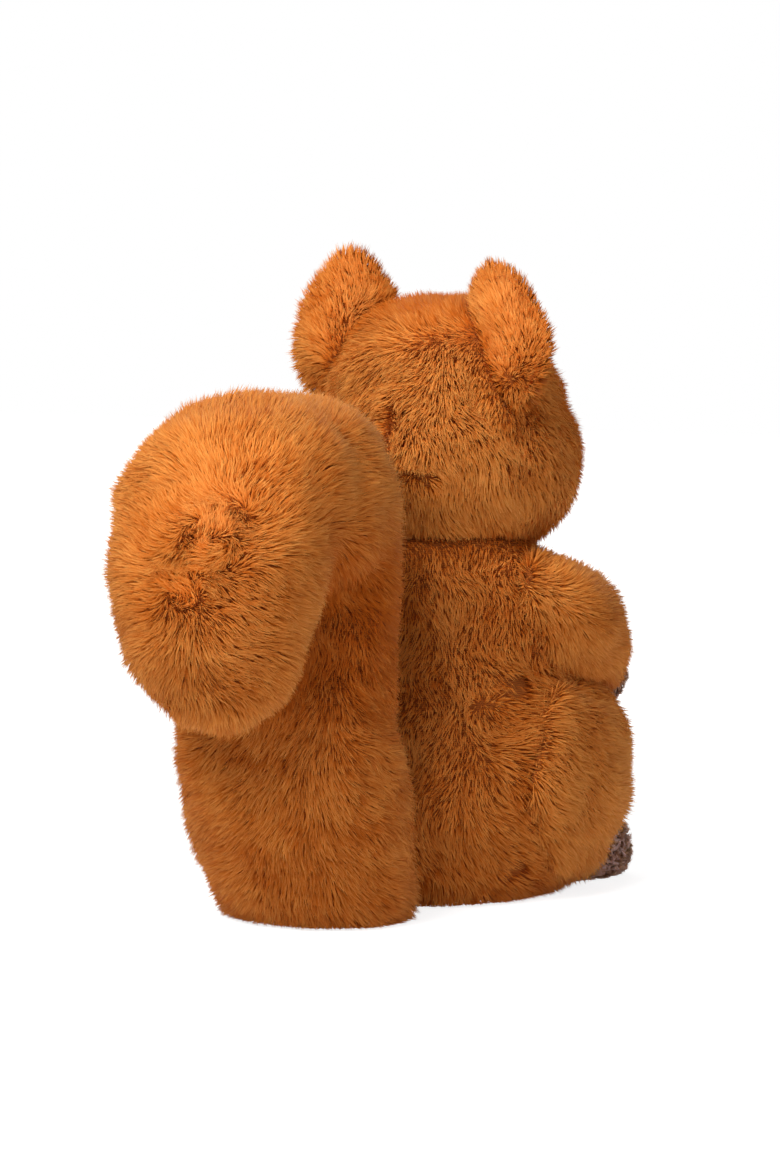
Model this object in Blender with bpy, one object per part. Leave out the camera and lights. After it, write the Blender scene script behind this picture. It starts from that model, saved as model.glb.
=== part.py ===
"""A sitting plush squirrel, made of stuffed and sewn forms.

Metres, +Z up. The squirrel faces -Y, its tail is at +Y and its left side is at +X.
The origin is in the middle of the body's flat seat, on the surface that it sits on.
Each form is one stuffed piece of fur fabric, closed at its own seam. The forms meet at
their seams with a small gap: a later form is trimmed to the ones that carry it.
"""

import math

import bmesh
import bpy
from mathutils import Matrix, Vector
from mathutils.bvhtree import BVHTree

# Seams and profiles
SEAM_GAP = 0.0003  # between two forms that are sewn together
ROUND_ENDS = (2.25, 2.25)  # the bluntness of a small form's two ends
EVEN = (1.0, 1.0)  # a profile that keeps its size from end to end
AHEAD_SHARE = 0.01  # of a spine, how far to each side its way is taken
SHARP_DEG = 50.0  # an edge that turns more than this is shaded sharp

# How finely each form is modelled: rings along its spine and sides round it
BODY_FINENESS = (22, 40)
HEAD_FINENESS = (20, 36)
EAR_FINENESS = (12, 16)
TAIL_FINENESS = (34, 24)
TAIL_SPINE_STEPS = 30
CROOK_FINENESS = (12, 16)
THIGH_FINENESS = (14, 20)
FOOT_FINENESS = (10, 16)
ARM_FINENESS = (14, 16)
PAW_FINENESS = (8, 12)
BUTTON_FINENESS = (8, 16)

# Body
BODY_BLUNTNESS = (2.7, 2.7)
BODY_HEIGHT = 0.151  # from the seat to the crown of the shoulders, inside the head
BODY_HIP_HALF_WIDTH = 0.064
BODY_HIP_HALF_DEPTH = 0.065
BODY_SHOULDER_HALF_WIDTH = 0.052
BODY_SHOULDER_HALF_DEPTH = 0.047
BODY_BELOW_SEAT = 0.016  # how far the round bottom is pressed flat
BODY_HIP_BACK = 0.005  # the hips' middle behind the origin
BODY_LEAN = 0.006  # the shoulders' middle in front of the origin
BELLY_SWELL = 0.006
BELLY_HEIGHT_SHARE = 0.333  # of the body's height
BELLY_REACH = 0.040
FLANK_PIT_DEPTH = 0.0030
FLANK_PIT_REACH = 0.0110
FLANK_PIT_HEIGHT = 0.072
FLANK_PIT_ROUND_DEG = 38.0  # round the body from its right side to its back

# Head
HEAD_BLUNTNESS = (2.4, 2.3)
HEAD_PROFILE = (1.06, 1.06, 0.91, 0.86)  # shares of its half width and depth, from chin to crown
HEAD_HALF_WIDTH = 0.052
HEAD_HALF_DEPTH = 0.050
HEAD_HALF_HEIGHT = 0.0505
HEAD_OVERLAP = 0.019  # how far the shoulders reach up into the head
HEAD_FORWARD = 0.003
CHEEK_OUT_SHARE = 0.62  # of the head's half width
CHEEK_FRONT_SHARE = 0.72  # of its half depth
MUZZLE_SWELL = 0.010
MUZZLE_REACH = 0.024
MUZZLE_DROP = 0.012  # the muzzle's middle below the head's middle
CHEEK_SWELL = 0.002
CHEEK_REACH = 0.024
CHEEK_DROP = 0.014
NAPE_SEAM_DEPTH = 0.0025  # the groove of the seam up the back of the head
NAPE_SEAM_REACH = 0.008
NAPE_SEAM_SHARE = 0.28  # of the head's half height, the groove's run up and down from the middle

# Ears
EAR_HALF_LENGTH = 0.0300
EAR_HALF_WIDTH = 0.0200
EAR_HALF_THICKNESS = 0.0055
EAR_PROFILE = (1.0, 1.10, 0.98, 0.72)  # shares of its half width, from root to tip
EAR_CUP = 0.007  # how far its edges curl forward
EAR_STAND = 0.005  # its middle above the head's surface
EAR_LEAN_DEG = -11.0  # outward from upright
EAR_TURN_DEG = 18.0  # its hollow turned outward from straight ahead
EAR_OUT_DEG = 43.0  # where it is sewn on, outward from the head's top
EAR_BACK = 0.015
RIGHT_EAR_DROP = 0.003  # the right ear is sewn on a little lower
RIGHT_EAR_BACK = 0.004  # and further back
RIGHT_EAR_LEAN_DEG = -4.0
LINING_SHARE = 0.70  # of the ear's outline
LINING_HALF_THICKNESS = 0.0022

# Tail
TAIL_BLUNTNESS = (2.8, 2.8)
TAIL_STEM_PROFILE = (1.20, 1.13, 0.96)  # shares of its half width, from its foot up
TAIL_TIP_PROFILE = (0.90, 1.0, 1.06)  # shares of the tip's half width, down to its end
TAIL_STEM_DEPTH_PROFILE = (1.14, 1.07, 0.93)
TAIL_TIP_DEPTH_PROFILE = (0.90, 1.12, 1.26)
TAIL_HALF_WIDTH = 0.0445
TAIL_HALF_DEPTH = 0.035
TAIL_FOLD_HALF_DEPTH = 0.0295
TAIL_TIP_HALF_WIDTH = 0.0465
TAIL_STEM_HEIGHT = 0.149  # from the surface it sits on to where it starts to curl
TAIL_CURL_RADIUS = 0.0305
TAIL_CURL_DEG = 155.0  # the tight part of the curl
TAIL_TIP_TURN_DEG = 50.0  # the slow turn after it, down to the tip
TAIL_TIP_LENGTH = 0.070  # from the end of the tight part to the tip
TAIL_LEAN_SHARES = (-0.50, 0.05, 0.48, 0.42, 0.23)  # of its half depth, backward, up the stem
TAIL_TIP_LEAN = 0.0050  # of the tip towards the right side
CROOK_HALF_WIDTH = 0.0465  # of the filling that closes the curl's crook
CROOK_HALF_DEPTH = 0.0490
CROOK_HALF_HEIGHT = 0.0380
CROOK_HEIGHT = 0.161  # its middle above the surface it sits on
CROOK_BACK = 0.007  # its middle behind the middle between the stem and the tip
TAIL_SINK = 0.015  # into the back where it is sewn on
TAIL_SEAT_SHARE = 0.25  # of the body's height, where it is sewn on
TAIL_BELOW_SEAT = 0.022

# Thighs and feet
THIGH_PROFILE = (0.90, 1.0, 0.96, 0.82)  # shares of its half width, from back to front
THIGH_HALF_LENGTH = 0.040
THIGH_HALF_HEIGHT = 0.041
THIGH_HALF_WIDTH = 0.022
THIGH_SINK = 0.035  # its inner side inside the body's side
THIGH_FORWARD = 0.018
THIGH_HEIGHT = 0.047
THIGH_TOE_IN = 0.006
THIGH_KNEE_RISE = 0.019  # its front end above its middle
FOOT_PROFILE = (0.9, 0.95, 1.05, 1.0)  # shares of its half width, from heel to toe
FOOT_HALF_LENGTH = 0.026
FOOT_HALF_WIDTH = 0.0160
FOOT_HALF_HEIGHT = 0.0150
FOOT_LIFT_SHARE = 0.85  # of its half height, from the surface to its middle
FOOT_SINK = 0.037  # its heel inside the front of the thigh
FOOT_SPREAD_DEG = 12.0

# Arms and paws
ARM_PROFILE = (0.9, 1.02, 0.97, 0.85)  # shares of its half width, from shoulder to hand
ARM_HALF_WIDTH = 0.0215
ARM_ROUND_DEG = (95.0, 73.0, 52.0, 31.0)  # round the body from straight ahead, shoulder to hand
ARM_HEIGHT_SHARES = (0.84, 0.74, 0.645, 0.53)  # of the body's height
ARM_STAND_SHARES = (-0.42, 0.05, 0.42, 0.92)  # of its half width, its middle off the body's surface
PAW_HALF_WIDTH = 0.013
PAW_HALF_LENGTH = 0.015
PAW_BACK_SHARE = 0.2  # of its half length, its middle behind the arm's end

# Face
FACE_RISE_SHARE = 0.8  # of a button's half height, its half thickness
EYE_RADIUS = 0.0060
EYE_SPREAD_DEG = 26.0
EYE_RISE_DEG = 6.0
EYE_SINK = 0.0035
NOSE_HALF_WIDTH = 0.0070
NOSE_HALF_HEIGHT = 0.0050
NOSE_SINK = 0.0028

# Fabric colours: linear red, green and blue
RUST_FUR = (0.42, 0.13, 0.018)
TAUPE_FLEECE = (0.26, 0.13, 0.085)
GREY_LINING = (0.20, 0.15, 0.12)
DARK_PLASTIC = (0.010, 0.007, 0.005)
DARK_THREAD = (0.030, 0.014, 0.008)

LEFT, RIGHT = 1, -1


def clear_scene():
    for obj in list(bpy.data.objects):
        bpy.data.objects.remove(obj)


def material(name, colour, roughness):
    made = bpy.data.materials.get(name)
    if made is None:
        made = bpy.data.materials.new(name)
        made.use_nodes = True
        shader = made.node_tree.nodes["Principled BSDF"]
        shader.inputs["Base Color"].default_value = (*colour, 1.0)
        shader.inputs["Roughness"].default_value = roughness
        shader.inputs["Metallic"].default_value = 0.0
        made.diffuse_color = (*colour, 1.0)
    return made


def smooth_value(values, share):
    """The value at share (0 to 1) of a smooth curve through two or more evenly spaced values."""
    last = len(values) - 1
    at = min(max(share, 0.0), 1.0) * last
    first = min(int(at), last - 1)
    t = at - first
    p0, p1 = values[max(first - 1, 0)], values[first]
    p2, p3 = values[first + 1], values[min(first + 2, last)]
    return 0.5 * (
        2 * p1
        + (p2 - p0) * t
        + (2 * p0 - 5 * p1 + 4 * p2 - p3) * t**2
        + (3 * p1 - p0 - 3 * p2 + p3) * t**3
    )


def stuffed_form(spine, half_widths, half_depths, fineness, bluntness, across=Vector((1, 0, 0))):
    """A closed stuffed shape along a spine of points, as a bmesh.

    half_widths lie along across, and half_depths at right angles to it and to the spine.
    bluntness is for the spine's start and end: 2 for an ellipsoid's end, more for a blunter one."""
    form = bmesh.new()
    rings, sides = fineness
    before = None
    first_pole = form.verts.new(spine[0])
    for ring in range(1, rings):
        share = 0.5 * (1 - math.cos(math.pi * ring / rings))
        middle = smooth_value(spine, share)
        ahead = smooth_value(spine, min(share + AHEAD_SHARE, 1.0))
        ahead = ahead - smooth_value(spine, max(share - AHEAD_SHARE, 0.0))
        depth_way = ahead.cross(across).normalized()
        width_way = depth_way.cross(ahead).normalized()
        blunt = bluntness[0] if share < 0.5 else bluntness[1]
        end_round = (1 - abs(2 * share - 1) ** blunt) ** (1 / blunt)
        half_width = smooth_value(half_widths, share) * end_round
        half_depth = smooth_value(half_depths, share) * end_round
        loop = []
        for side in range(sides):
            turn = 2 * math.pi * side / sides
            out = width_way * (half_width * math.cos(turn)) + depth_way * (half_depth * math.sin(turn))
            loop.append(form.verts.new(middle + out))
        for side in range(sides):
            after = (side + 1) % sides
            if before is None:
                form.faces.new((first_pole, loop[after], loop[side]))
            else:
                form.faces.new((before[side], before[after], loop[after], loop[side]))
        before = loop
    last_pole = form.verts.new(spine[-1])
    for side in range(sides):
        form.faces.new((before[side], before[(side + 1) % sides], last_pole))
    bmesh.ops.recalc_face_normals(form, faces=form.faces)
    return form


def push(form, start, end, reach, height):
    """Swells the form by height along a line, or draws it in if height is negative."""
    form.normal_update()
    line = end - start
    for vert in form.verts:
        along = (vert.co - start).dot(line) / max(line.length_squared, reach * reach * 1e-6)
        nearest = start + line * min(max(along, 0.0), 1.0)
        fall_off = math.exp(-((vert.co - nearest).length_squared) / (reach * reach))
        vert.co += vert.normal * (height * fall_off)


def press_flat(form):
    """Cuts the form off at the surface it sits on, with one flat face there."""
    everything = [*form.verts, *form.edges, *form.faces]
    cut = bmesh.ops.bisect_plane(
        form, geom=everything, dist=1e-6, plane_co=(0, 0, 0), plane_no=(0, 0, -1), clear_outer=True
    )
    rim = [part for part in cut["geom_cut"] if isinstance(part, bmesh.types.BMEdge)]
    bmesh.ops.edgeloop_fill(form, edges=rim)
    bmesh.ops.recalc_face_normals(form, faces=form.faces)


def add_piece(name, form, paint):
    mesh = bpy.data.meshes.new(name)
    form.to_mesh(mesh)
    form.free()
    mesh.shade_smooth()
    mesh.set_sharp_from_angle(angle=math.radians(SHARP_DEG))
    mesh.materials.append(paint)
    piece = bpy.data.objects.new(name, mesh)
    bpy.context.scene.collection.objects.link(piece)
    return piece


def hidden_piece(name, form):
    """A form that only shapes other pieces."""
    mesh = bpy.data.meshes.new(name)
    form.to_mesh(mesh)
    form.free()
    hidden = bpy.data.objects.new(name, mesh)
    hidden.hide_render = True
    hidden.display_type = "WIRE"
    bpy.context.scene.collection.objects.link(hidden)
    return hidden


def grown_copy(carrier):
    """A hidden copy of a piece that is a seam's gap larger all round, for trimming others."""
    form = bmesh.new()
    form.from_mesh(carrier.data)
    form.normal_update()
    for vert in form.verts:
        vert.co += vert.normal * SEAM_GAP
        vert.co.z = vert.co.z if vert.co.z > SEAM_GAP else vert.co.z - SEAM_GAP
    return hidden_piece(carrier.name + "_trimmer", form)


def trim(piece, *carriers):
    """Takes away the stretch of a piece that would lie inside the pieces that carry it."""
    for carrier in carriers:
        trimmer = bpy.data.objects.get(carrier.name + "_trimmer") or grown_copy(carrier)
        cut = piece.modifiers.new("trim to " + carrier.name, "BOOLEAN")
        cut.operation = "DIFFERENCE"
        cut.solver = "EXACT"
        cut.object = trimmer
    return piece


def surface_point(piece, start, way):
    """Where a line from inside the piece leaves its surface, and the surface's normal there."""
    mesh = piece.data
    tree = BVHTree.FromPolygons([v.co for v in mesh.vertices], [p.vertices for p in mesh.polygons])
    way = Vector(way).normalized()
    hit, normal = None, None
    origin = Vector(start)
    for _ in range(8):
        found, facing, _, _ = tree.ray_cast(origin, way)
        if found is None:
            break
        hit, normal = found, facing
        origin = found + way * 1e-5
    return hit, normal


def straight_spine(middle, reach):
    """A straight spine from middle - reach to middle + reach."""
    return [middle - reach, middle - reach / 3, middle + reach / 3, middle + reach]


def scaled(size, profile):
    return [size * share for share in profile]


def round_the_body(body, height, round_deg, side, stand):
    """A point off the body's surface, at a height and an angle round it from straight ahead."""
    angle = math.radians(round_deg)
    inside = Vector((0, 0, height))
    seat, _ = surface_point(body, inside, (side * math.sin(angle), -math.cos(angle), 0))
    return seat + (seat - inside).normalized() * stand


def body_piece(fur):
    foot, crown = Vector((0, BODY_HIP_BACK, -BODY_BELOW_SEAT)), Vector((0, -BODY_LEAN, BODY_HEIGHT))
    spine = straight_spine((foot + crown) / 2, (crown - foot) / 2)
    widths = [BODY_HIP_HALF_WIDTH] * 2 + [BODY_SHOULDER_HALF_WIDTH] * 2
    depths = [BODY_HIP_HALF_DEPTH] * 2 + [BODY_SHOULDER_HALF_DEPTH] * 2
    form = stuffed_form(spine, widths, depths, BODY_FINENESS, BODY_BLUNTNESS)
    belly = Vector((0, -BODY_HIP_HALF_DEPTH, BODY_HEIGHT * BELLY_HEIGHT_SHARE))
    push(form, belly, belly, BELLY_REACH, BELLY_SWELL)
    pit_round = math.radians(FLANK_PIT_ROUND_DEG)
    across, behind = BODY_HIP_HALF_WIDTH * math.cos(pit_round), BODY_HIP_HALF_DEPTH * math.sin(pit_round)
    pit = Vector((-across, behind, FLANK_PIT_HEIGHT))
    push(form, pit, pit, FLANK_PIT_REACH, -FLANK_PIT_DEPTH)
    press_flat(form)
    return add_piece("body", form, fur)


def head_middle():
    return Vector((0, -BODY_LEAN - HEAD_FORWARD, BODY_HEIGHT - HEAD_OVERLAP + HEAD_HALF_HEIGHT))


def head_piece(fur, body):
    middle = head_middle()
    up = Vector((0, 0, HEAD_HALF_HEIGHT))
    widths, depths = scaled(HEAD_HALF_WIDTH, HEAD_PROFILE), scaled(HEAD_HALF_DEPTH, HEAD_PROFILE)
    form = stuffed_form(straight_spine(middle, up), widths, depths, HEAD_FINENESS, HEAD_BLUNTNESS)
    muzzle = middle + Vector((0, -HEAD_HALF_DEPTH, -MUZZLE_DROP))
    push(form, muzzle, muzzle, MUZZLE_REACH, MUZZLE_SWELL)
    for side in (LEFT, RIGHT):
        across, ahead = HEAD_HALF_WIDTH * CHEEK_OUT_SHARE, HEAD_HALF_DEPTH * CHEEK_FRONT_SHARE
        cheek = middle + Vector((side * across, -ahead, -CHEEK_DROP))
        push(form, cheek, cheek, CHEEK_REACH, CHEEK_SWELL)
    nape = middle + Vector((0, HEAD_HALF_DEPTH, 0))
    push(form, nape - up * NAPE_SEAM_SHARE, nape + up * NAPE_SEAM_SHARE, NAPE_SEAM_REACH, -NAPE_SEAM_DEPTH)
    return trim(add_piece("head", form, fur), body)


def ear_ways(head, side):
    """An ear's middle, and its ways: outward across it, forward out of its hollow, and up along it."""
    middle = head_middle() + Vector((0, EAR_BACK, 0))
    if side == RIGHT:
        middle += Vector((0, RIGHT_EAR_BACK, -RIGHT_EAR_DROP))
    out = math.radians(EAR_OUT_DEG)
    off_head = Vector((side * math.sin(out), 0, math.cos(out)))
    seat, _ = surface_point(head, middle, off_head)
    lean_deg = RIGHT_EAR_LEAN_DEG if side == RIGHT else EAR_LEAN_DEG
    lean = Matrix.Rotation(math.radians(lean_deg) * side, 3, "Y")
    turn = Matrix.Rotation(math.radians(EAR_TURN_DEG) * side, 3, "Z")
    ways = lean @ turn
    out_way, front_way, up_way = (ways @ Vector(way) for way in ((side, 0, 0), (0, -1, 0), (0, 0, 1)))
    return seat + off_head * EAR_STAND, out_way, front_way, up_way


def leaf_form(middle, out_way, front_way, up_way, share, half_thickness, forward):
    """An ear's leaf: full below its middle, narrower at its tip, and cupped towards its front."""
    reach = up_way * (EAR_HALF_LENGTH * share)
    widths = scaled(EAR_HALF_WIDTH * share, EAR_PROFILE)
    thick = scaled(half_thickness, EVEN)
    form = stuffed_form(straight_spine(middle, reach), widths, thick, EAR_FINENESS, ROUND_ENDS, out_way)
    for vert in form.verts:
        across = (vert.co - middle).dot(out_way) / EAR_HALF_WIDTH
        vert.co += front_way * (EAR_CUP * across * across + forward)
    bmesh.ops.recalc_face_normals(form, faces=form.faces)
    return form


def ear_pieces(fur, lining, head):
    for side, word in ((LEFT, "left"), (RIGHT, "right")):
        ways = ear_ways(head, side)
        ear = add_piece("ear_" + word, leaf_form(*ways, 1.0, EAR_HALF_THICKNESS, 0.0), fur)
        trim(ear, head)
        patch = leaf_form(*ways, LINING_SHARE, LINING_HALF_THICKNESS, EAR_HALF_THICKNESS)
        trim(add_piece("ear_lining_" + word, patch, lining), head, ear)


def tail_spine(stem_y):
    """Evenly spaced points up the stem, round the curl and down to the tip."""
    stem = TAIL_BELOW_SEAT + TAIL_STEM_HEIGHT
    curl = TAIL_CURL_RADIUS * math.radians(TAIL_CURL_DEG)
    length = stem + curl + TAIL_TIP_LENGTH
    points = []
    leans = scaled(TAIL_HALF_DEPTH, TAIL_LEAN_SHARES)
    end = Vector((0, stem_y + leans[-1], TAIL_STEM_HEIGHT))
    for step in range(TAIL_SPINE_STEPS + 1):
        way = length * step / TAIL_SPINE_STEPS
        if way < stem:
            lean = smooth_value(leans, way / stem)
            points.append(Vector((0, stem_y + lean, way - TAIL_BELOW_SEAT)))
            continue
        heading = math.radians(TAIL_CURL_DEG) * min((way - stem) / curl, 1.0)
        heading += math.radians(TAIL_TIP_TURN_DEG) * max((way - stem - curl) / TAIL_TIP_LENGTH, 0.0)
        stride = min(way - stem, length / TAIL_SPINE_STEPS)
        end = end + Vector((0, math.sin(heading), math.cos(heading))) * stride
        end.x = -TAIL_TIP_LEAN * (way - stem) / (length - stem)
        points.append(end)
    return points


def tail_piece(fur, body, head):
    hip_back, _ = surface_point(body, (0, 0, BODY_HEIGHT * TAIL_SEAT_SHARE), (0, 1, 0))
    spine = tail_spine(hip_back.y + TAIL_HALF_DEPTH - TAIL_SINK)
    widths = scaled(TAIL_HALF_WIDTH, TAIL_STEM_PROFILE) + scaled(TAIL_TIP_HALF_WIDTH, TAIL_TIP_PROFILE)
    depths = scaled(TAIL_HALF_DEPTH, TAIL_STEM_DEPTH_PROFILE)
    depths += scaled(TAIL_FOLD_HALF_DEPTH, TAIL_TIP_DEPTH_PROFILE)
    form = stuffed_form(spine, widths, depths, TAIL_FINENESS, TAIL_BLUNTNESS)
    press_flat(form)
    tail = add_piece("tail", form, fur)
    crook_middle = Vector((0, (spine[0].y + spine[-1].y) / 2 + CROOK_BACK, CROOK_HEIGHT))
    crook = straight_spine(crook_middle, Vector((0, 0, CROOK_HALF_HEIGHT)))
    widths, depths = scaled(CROOK_HALF_WIDTH, EVEN), scaled(CROOK_HALF_DEPTH, EVEN)
    filling = stuffed_form(crook, widths, depths, CROOK_FINENESS, ROUND_ENDS)
    fill = tail.modifiers.new("fill the crook", "BOOLEAN")
    fill.operation = "UNION"
    fill.solver = "EXACT"
    fill.object = hidden_piece("crook_filling", filling)
    return trim(tail, body, head)


def thigh_piece(word, side, fur, body):
    """One thigh, and the middle of its front end."""
    hip_side, _ = surface_point(body, (0, 0, THIGH_HEIGHT), (side, 0, 0))
    across = hip_side.x + side * (THIGH_HALF_WIDTH - THIGH_SINK)
    middle = Vector((across, -THIGH_FORWARD, THIGH_HEIGHT))
    reach = Vector((-side * THIGH_TOE_IN, -THIGH_HALF_LENGTH, THIGH_KNEE_RISE))
    widths, heights = scaled(THIGH_HALF_WIDTH, THIGH_PROFILE), scaled(THIGH_HALF_HEIGHT, THIGH_PROFILE)
    form = stuffed_form(straight_spine(middle, reach), widths, heights, THIGH_FINENESS, ROUND_ENDS)
    press_flat(form)
    return trim(add_piece("thigh_" + word, form, fur), body), middle + reach


def foot_piece(word, side, fleece, body, thigh, knee):
    spread = Matrix.Rotation(math.radians(FOOT_SPREAD_DEG) * side, 3, "Z")
    ahead = spread @ Vector((0, -1, 0))
    middle = Vector((knee.x, knee.y, FOOT_HALF_HEIGHT * FOOT_LIFT_SHARE))
    middle += ahead * (FOOT_HALF_LENGTH - FOOT_SINK)
    spine = straight_spine(middle, ahead * FOOT_HALF_LENGTH)
    widths, heights = scaled(FOOT_HALF_WIDTH, FOOT_PROFILE), scaled(FOOT_HALF_HEIGHT, FOOT_PROFILE)
    across = spread @ Vector((1, 0, 0))
    form = stuffed_form(spine, widths, heights, FOOT_FINENESS, ROUND_ENDS, across)
    press_flat(form)
    trim(add_piece("foot_" + word, form, fleece), thigh, body)


def arm_pieces(word, side, fur, fleece, body, head, thigh):
    heights, stands = scaled(BODY_HEIGHT, ARM_HEIGHT_SHARES), scaled(ARM_HALF_WIDTH, ARM_STAND_SHARES)
    spine = [
        round_the_body(body, height, round_deg, side, stand)
        for height, round_deg, stand in zip(heights, ARM_ROUND_DEG, stands)
    ]
    widths = scaled(ARM_HALF_WIDTH, ARM_PROFILE)
    form = stuffed_form(spine, widths, widths, ARM_FINENESS, ROUND_ENDS, Vector((0, 0, 1)))
    arm = trim(add_piece("arm_" + word, form, fur), body, head, thigh)
    way = (spine[-1] - spine[-2]).normalized()
    middle = spine[-1] - way * (PAW_HALF_LENGTH * PAW_BACK_SHARE)
    widths = scaled(PAW_HALF_WIDTH, EVEN)
    spine = straight_spine(middle, way * PAW_HALF_LENGTH)
    form = stuffed_form(spine, widths, widths, PAW_FINENESS, ROUND_ENDS, Vector((0, 0, 1)))
    trim(add_piece("paw_" + word, form, fleece), body, thigh, arm)


def button_piece(name, seat, normal, half_width, half_height, sink, paint, head):
    """A rounded button on the face: an eye, or the nose. Its back is sunk into the head."""
    middle = seat + normal * (half_height * FACE_RISE_SHARE - sink)
    spine = straight_spine(middle, normal * (half_height * FACE_RISE_SHARE))
    across = Vector((0, 0, 1)).cross(normal).normalized()
    widths, heights = scaled(half_width, EVEN), scaled(half_height, EVEN)
    form = stuffed_form(spine, widths, heights, BUTTON_FINENESS, ROUND_ENDS, across)
    trim(add_piece(name, form, paint), head)


def face_pieces(plastic, thread, head):
    middle = head_middle()
    spread, rise = math.radians(EYE_SPREAD_DEG), math.radians(EYE_RISE_DEG)
    for side, word in ((LEFT, "left"), (RIGHT, "right")):
        way = Vector((side * math.sin(spread), -math.cos(spread), math.tan(rise)))
        seat, normal = surface_point(head, middle, way)
        button_piece("eye_" + word, seat, normal, EYE_RADIUS, EYE_RADIUS, EYE_SINK, plastic, head)
    seat, normal = surface_point(head, middle - Vector((0, 0, MUZZLE_DROP)), (0, -1, 0))
    button_piece("nose", seat, normal, NOSE_HALF_WIDTH, NOSE_HALF_HEIGHT, NOSE_SINK, thread, head)


def main():
    clear_scene()
    fur = material("rust fur", RUST_FUR, 0.9)
    fleece = material("taupe fleece", TAUPE_FLEECE, 0.95)
    lining = material("grey lining", GREY_LINING, 0.9)
    plastic = material("dark plastic", DARK_PLASTIC, 0.15)
    thread = material("dark thread", DARK_THREAD, 0.6)
    body = body_piece(fur)
    head = head_piece(fur, body)
    ear_pieces(fur, lining, head)
    tail_piece(fur, body, head)
    for side, word in ((LEFT, "left"), (RIGHT, "right")):
        thigh, knee = thigh_piece(word, side, fur, body)
        foot_piece(word, side, fleece, body, thigh, knee)
        arm_pieces(word, side, fur, fleece, body, head, thigh)
    face_pieces(plastic, thread, head)


main()
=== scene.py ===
"""Looks of a sitting plush squirrel, laid out as a Blender add-on and run as a script.

Each stuffed form gets a skin of fabric, swollen with filling by a short cloth simulation,
and a pile of strands that grow from the skin, lean the way the fur is combed and gather in
small locks. The rust fur is long, the ear linings are short, and the paws and feet are
curly. The eyes keep their solids, and the nose is stitched. Metres, +Z up; the squirrel
faces -Y and its left side is at +X.
"""

import math
from collections import namedtuple

import bpy
import numpy as np
from bpy.props import FloatProperty, FloatVectorProperty, IntProperty, PointerProperty
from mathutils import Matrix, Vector
from mathutils.bvhtree import BVHTree
from mathutils.kdtree import KDTree


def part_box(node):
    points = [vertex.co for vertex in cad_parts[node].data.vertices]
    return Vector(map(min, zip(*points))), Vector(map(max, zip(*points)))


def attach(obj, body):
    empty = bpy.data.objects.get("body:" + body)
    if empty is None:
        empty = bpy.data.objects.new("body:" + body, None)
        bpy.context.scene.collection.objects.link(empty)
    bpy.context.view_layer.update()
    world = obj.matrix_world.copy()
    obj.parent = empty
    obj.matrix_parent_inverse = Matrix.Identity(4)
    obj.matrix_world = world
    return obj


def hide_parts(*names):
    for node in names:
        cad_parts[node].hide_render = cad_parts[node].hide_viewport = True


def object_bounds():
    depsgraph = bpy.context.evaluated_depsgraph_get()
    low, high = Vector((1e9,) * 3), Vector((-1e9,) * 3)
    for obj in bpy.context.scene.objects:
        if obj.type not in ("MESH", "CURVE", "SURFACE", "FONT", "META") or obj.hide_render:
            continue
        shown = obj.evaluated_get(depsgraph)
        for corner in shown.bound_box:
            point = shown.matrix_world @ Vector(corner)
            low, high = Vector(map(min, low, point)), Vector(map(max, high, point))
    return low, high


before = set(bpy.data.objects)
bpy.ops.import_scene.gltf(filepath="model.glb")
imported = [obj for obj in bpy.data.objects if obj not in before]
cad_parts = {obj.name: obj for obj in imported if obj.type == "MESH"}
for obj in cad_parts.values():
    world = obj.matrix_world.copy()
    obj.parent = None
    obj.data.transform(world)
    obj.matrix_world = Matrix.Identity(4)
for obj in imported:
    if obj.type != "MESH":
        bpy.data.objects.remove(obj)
CAD_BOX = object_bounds()

bl_info = {
    "name": "Plush squirrel",
    "version": (1, 0, 0),
    "blender": (4, 5, 0),
    "location": "3D View > Sidebar > Plush squirrel",
    "description": "Skins, pile, eyes, nose and studio of a sitting plush squirrel",
    "category": "Object",
}

# Where each form meets others: its pile stays out of these, and its skin isn't drawn in there
NEIGHBOURS = {
    "body": ("head", "tail", "thigh_left", "thigh_right", "arm_left", "arm_right"),
    "head": (
        "body", "tail", "ear_left", "ear_right", "arm_left", "arm_right",
        "eye_left", "eye_right", "nose",
    ),
    "tail": ("body", "head"),
    "thigh_left": ("body", "arm_left", "foot_left", "paw_left"),
    "thigh_right": ("body", "arm_right", "foot_right", "paw_right"),
    "arm_left": ("body", "head", "thigh_left", "paw_left"),
    "arm_right": ("body", "head", "thigh_right", "paw_right"),
    "ear_left": ("head", "ear_lining_left"),
    "ear_right": ("head", "ear_lining_right"),
    "ear_lining_left": ("head", "ear_left"),
    "ear_lining_right": ("head", "ear_right"),
    "paw_left": ("arm_left", "body", "thigh_left"),
    "paw_right": ("arm_right", "body", "thigh_right"),
    "foot_left": ("thigh_left", "body"),
    "foot_right": ("thigh_right", "body"),
}

# Where the pile of one form lies across its seam with another and hides it
COVERED_SEAMS = {
    "body": ("thigh_left", "thigh_right", "arm_left", "arm_right"),
    "thigh_left": ("body",),
    "thigh_right": ("body",),
    "arm_left": ("body",),
    "arm_right": ("body",),
}

SIDES = ("left", "right")

# strands is how many a pile has before the ones inside a neighbour are left out, seed the
# random draw's, cell how finely the skin is cut, and tone from 0 for deep to 1 for bright.
# The pieces' tones hold painted light and shade: lower on the body, which lies in shade,
# and higher on the head and thighs, to make them look more brightly lit.
# The tail's three piles grow on one skin
Pile = namedtuple("Pile", "strands seed cell tone", defaults=(None, 0.5))
PILES = {
    "body": Pile(106000, 11, 0.005, 0.42),
    "head": Pile(79000, 12, 0.0045, 0.66),
    "tail_stem": Pile(140000, 13, 0.005, 0.51),
    "tail_curl": Pile(145000, 14, tone=0.51),
    "tail_whorl": Pile(120000, 25, tone=0.44),
    "thigh": Pile(28000, 15, 0.004, 0.68),
    "arm": Pile(22000, 17, 0.0035, 0.56),
    "ear": Pile(11000, 19, 0.0018, 0.54),
    "ear_lining": Pile(4500, 29, 0.0012),
    "paw": Pile(6500, 21, 0.0022),
    "foot": Pile(10000, 23, 0.0028),
}

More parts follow.
